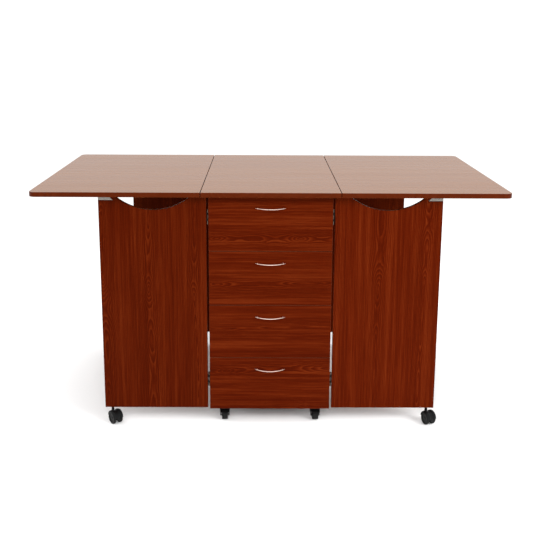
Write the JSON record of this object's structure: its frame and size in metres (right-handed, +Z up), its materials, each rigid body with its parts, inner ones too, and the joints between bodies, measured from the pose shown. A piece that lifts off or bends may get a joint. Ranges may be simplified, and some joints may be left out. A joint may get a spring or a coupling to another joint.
{
  "type": "sewing table",
  "caption": "Drop-leaf sewing and cutting table: drawer cabinet on casters with bow handles, gate legs with arched top edges, and two hinged leaves.",
  "frame": {"origin": "on the floor under the middle of the open top", "axes": "+Z up, -Y towards the drawer fronts, +X along the open top to the right of someone facing the drawers"},
  "size_m": [1.756, 1.016, 0.914],
  "materials": {
    "top_wood": "satin lacquered cherry laminate",
    "front_wood": "satin cherry laminate, grain across",
    "leg_wood": "satin cherry laminate, grain upright",
    "carcass_wood": "satin cherry laminate",
    "tray_wood": "pale matt board",
    "nickel": "satin nickel",
    "hinge_metal": "plated steel",
    "catch_plastic": "light grey moulded",
    "black_plastic": "black moulded",
    "wheel_plastic": "dark grey tread"
  },
  "bodies": {
    "cabinet": {"centre_top": "top_wood", "cabinet_left_side": "carcass_wood", "cabinet_right_side": "carcass_wood", "cabinet_bottom": "carcass_wood", "cabinet_divider": "carcass_wood", "front_top_rail": "carcass_wood", "rear_top_rail": "carcass_wood", "rear_shelf": "carcass_wood", "front_left_upper_hinge": "hinge_metal", "front_left_lower_hinge": "hinge_metal", "front_right_upper_hinge": "hinge_metal", "front_right_lower_hinge": "hinge_metal", "rear_left_upper_hinge": "hinge_metal", "rear_left_lower_hinge": "hinge_metal", "rear_right_upper_hinge": "hinge_metal", "rear_right_lower_hinge": "hinge_metal", "left_leaf_hinge_front": "hinge_metal", "left_leaf_hinge_middle": "hinge_metal", "left_leaf_hinge_rear": "hinge_metal", "right_leaf_hinge_front": "hinge_metal", "right_leaf_hinge_middle": "hinge_metal", "right_leaf_hinge_rear": "hinge_metal"},
    "left_leaf": {"left_leaf": "top_wood"},
    "right_leaf": {"right_leaf": "top_wood"},
    "drawer_1": {"drawer_1_front": "front_wood", "drawer_1_box": "tray_wood", "drawer_1_handle": "nickel"},
    "drawer_2": {"drawer_2_front": "front_wood", "drawer_2_box": "tray_wood", "drawer_2_handle": "nickel"},
    "drawer_3": {"drawer_3_front": "front_wood", "drawer_3_box": "tray_wood", "drawer_3_handle": "nickel"},
    "drawer_4": {"drawer_4_front": "front_wood", "drawer_4_box": "tray_wood", "drawer_4_handle": "nickel"},
    "front_left_leg": {"front_left_leg": "leg_wood", "front_left_catch_block": "catch_plastic"},
    "front_right_leg": {"front_right_leg": "leg_wood", "front_right_catch_block": "catch_plastic"},
    "rear_left_leg": {"rear_left_leg": "leg_wood", "rear_left_catch_block": "catch_plastic"},
    "rear_right_leg": {"rear_right_leg": "leg_wood", "rear_right_catch_block": "catch_plastic"},
    "front_left_caster_fork": {"front_left_caster_fork": "black_plastic"},
    "front_left_caster_wheels": {"front_left_caster_wheels": "wheel_plastic"},
    "cabinet_front_left_caster_fork": {"cabinet_front_left_caster_fork": "black_plastic"},
    "cabinet_front_left_caster_wheel": {"cabinet_front_left_caster_wheel": "wheel_plastic"},
    "front_right_caster_fork": {"front_right_caster_fork": "black_plastic"},
    "front_right_caster_wheels": {"front_right_caster_wheels": "wheel_plastic"},
    "cabinet_front_right_caster_fork": {"cabinet_front_right_caster_fork": "black_plastic"},
    "cabinet_front_right_caster_wheel": {"cabinet_front_right_caster_wheel": "wheel_plastic"},
    "rear_left_caster_fork": {"rear_left_caster_fork": "black_plastic"},
    "rear_left_caster_wheels": {"rear_left_caster_wheels": "wheel_plastic"},
    "cabinet_rear_left_caster_fork": {"cabinet_rear_left_caster_fork": "black_plastic"},
    "cabinet_rear_left_caster_wheel": {"cabinet_rear_left_caster_wheel": "wheel_plastic"},
    "rear_right_caster_fork": {"rear_right_caster_fork": "black_plastic"},
    "rear_right_caster_wheels": {"rear_right_caster_wheels": "wheel_plastic"},
    "cabinet_rear_right_caster_fork": {"cabinet_rear_right_caster_fork": "black_plastic"},
    "cabinet_rear_right_caster_wheel": {"cabinet_rear_right_caster_wheel": "wheel_plastic"}
  },
  "joints": [
    {"name": "left_leaf_hinge", "type": "hinge", "parent": "cabinet", "child": "left_leaf", "pos_m": [-0.2565, 0, 0.8925], "axis": [0, 1, 0], "range_deg": [0, 4]},
    {"name": "right_leaf_hinge", "type": "hinge", "parent": "cabinet", "child": "right_leaf", "pos_m": [0.2565, 0, 0.8925], "axis": [0, -1, 0], "range_deg": [0, 4]},
    {"name": "drawer_1_slide", "type": "slide", "parent": "cabinet", "child": "drawer_1", "axis": [0, -1, 0], "range_m": [0, 0.3]},
    {"name": "drawer_2_slide", "type": "slide", "parent": "cabinet", "child": "drawer_2", "axis": [0, -1, 0], "range_m": [0, 0.3]},
    {"name": "drawer_3_slide", "type": "slide", "parent": "cabinet", "child": "drawer_3", "axis": [0, -1, 0], "range_m": [0, 0.3]},
    {"name": "drawer_4_slide", "type": "slide", "parent": "cabinet", "child": "drawer_4", "axis": [0, -1, 0], "range_m": [0, 0.3]},
    {"name": "front_left_leg_swing", "type": "hinge", "parent": "cabinet", "child": "front_left_leg", "pos_m": [-0.234, -0.438, 0], "axis": [0, 0, -1], "range_deg": [0, 90]},
    {"name": "front_right_leg_swing", "type": "hinge", "parent": "cabinet", "child": "front_right_leg", "pos_m": [0.234, -0.438, 0], "axis": [0, 0, 1], "range_deg": [0, 90]},
    {"name": "rear_left_leg_swing", "type": "hinge", "parent": "cabinet", "child": "rear_left_leg", "pos_m": [-0.234, 0.438, 0], "axis": [0, 0, 1], "range_deg": [0, 90]},
    {"name": "rear_right_leg_swing", "type": "hinge", "parent": "cabinet", "child": "rear_right_leg", "pos_m": [0.234, 0.438, 0], "axis": [0, 0, -1], "range_deg": [0, 90]},
    {"name": "front_left_caster_swivel", "type": "hinge", "parent": "front_left_leg", "child": "front_left_caster_fork", "pos_m": [-0.608, -0.447, 0.05], "axis": [0, 0, 1], "continuous": true},
    {"name": "front_left_caster_roll", "type": "hinge", "parent": "front_left_caster_fork", "child": "front_left_caster_wheels", "pos_m": [-0.59596, -0.46297, 0.025], "axis": [0.7986, 0.6018, 0], "continuous": true},
    {"name": "cabinet_front_left_caster_swivel", "type": "hinge", "parent": "cabinet", "child": "cabinet_front_left_caster_fork", "pos_m": [-0.176, -0.408, 0.05], "axis": [0, 0, 1], "continuous": true},
    {"name": "cabinet_front_left_caster_roll", "type": "hinge", "parent": "cabinet_front_left_caster_fork", "child": "cabinet_front_left_caster_wheel", "pos_m": [-0.17488, -0.42396, 0.019], "axis": [0.9976, 0.0698, 0], "continuous": true},
    {"name": "front_right_caster_swivel", "type": "hinge", "parent": "front_right_leg", "child": "front_right_caster_fork", "pos_m": [0.608, -0.447, 0.05], "axis": [0, 0, 1], "continuous": true},
    {"name": "front_right_caster_roll", "type": "hinge", "parent": "front_right_caster_fork", "child": "front_right_caster_wheels", "pos_m": [0.61549, -0.46554, 0.025], "axis": [0.9272, 0.3746, 0], "continuous": true},
    {"name": "cabinet_front_right_caster_swivel", "type": "hinge", "parent": "cabinet", "child": "cabinet_front_right_caster_fork", "pos_m": [0.176, -0.408, 0.05], "axis": [0, 0, 1], "continuous": true},
    {"name": "cabinet_front_right_caster_roll", "type": "hinge", "parent": "cabinet_front_right_caster_fork", "child": "cabinet_front_right_caster_wheel", "pos_m": [0.17795, -0.42388, 0.019], "axis": [0.9925, 0.1219, 0], "continuous": true},
    {"name": "rear_left_caster_swivel", "type": "hinge", "parent": "rear_left_leg", "child": "rear_left_caster_fork", "pos_m": [-0.608, 0.447, 0.05], "axis": [0, 0, 1], "continuous": true},
    {"name": "rear_left_caster_roll", "type": "hinge", "parent": "rear_left_caster_fork", "child": "rear_left_caster_wheels", "pos_m": [-0.59955, 0.42887, 0.025], "axis": [0.9063, 0.4226, 0], "continuous": true},
    {"name": "cabinet_rear_left_caster_swivel", "type": "hinge", "parent": "cabinet", "child": "cabinet_rear_left_caster_fork", "pos_m": [-0.176, 0.408, 0.05], "axis": [0, 0, 1], "continuous": true},
    {"name": "cabinet_rear_left_caster_roll", "type": "hinge", "parent": "cabinet_rear_left_caster_fork", "child": "cabinet_rear_left_caster_wheel", "pos_m": [-0.17322, 0.39224, 0.019], "axis": [0.9848, 0.1736, 0], "continuous": true},
    {"name": "rear_right_caster_swivel", "type": "hinge", "parent": "rear_right_leg", "child": "rear_right_caster_fork", "pos_m": [0.608, 0.447, 0.05], "axis": [0, 0, 1], "continuous": true},
    {"name": "rear_right_caster_roll", "type": "hinge", "parent": "rear_right_caster_fork", "child": "rear_right_caster_wheels", "pos_m": [0.62086, 0.43168, 0.025], "axis": [0.766, 0.6428, 0], "continuous": true},
    {"name": "cabinet_rear_right_caster_swivel", "type": "hinge", "parent": "cabinet", "child": "cabinet_rear_right_caster_fork", "pos_m": [0.176, 0.408, 0.05], "axis": [0, 0, 1], "continuous": true},
    {"name": "cabinet_rear_right_caster_roll", "type": "hinge", "parent": "cabinet_rear_right_caster_fork", "child": "cabinet_rear_right_caster_wheel", "pos_m": [0.18147, 0.39296, 0.019], "axis": [0.9397, 0.342, 0], "continuous": true}
  ]
}
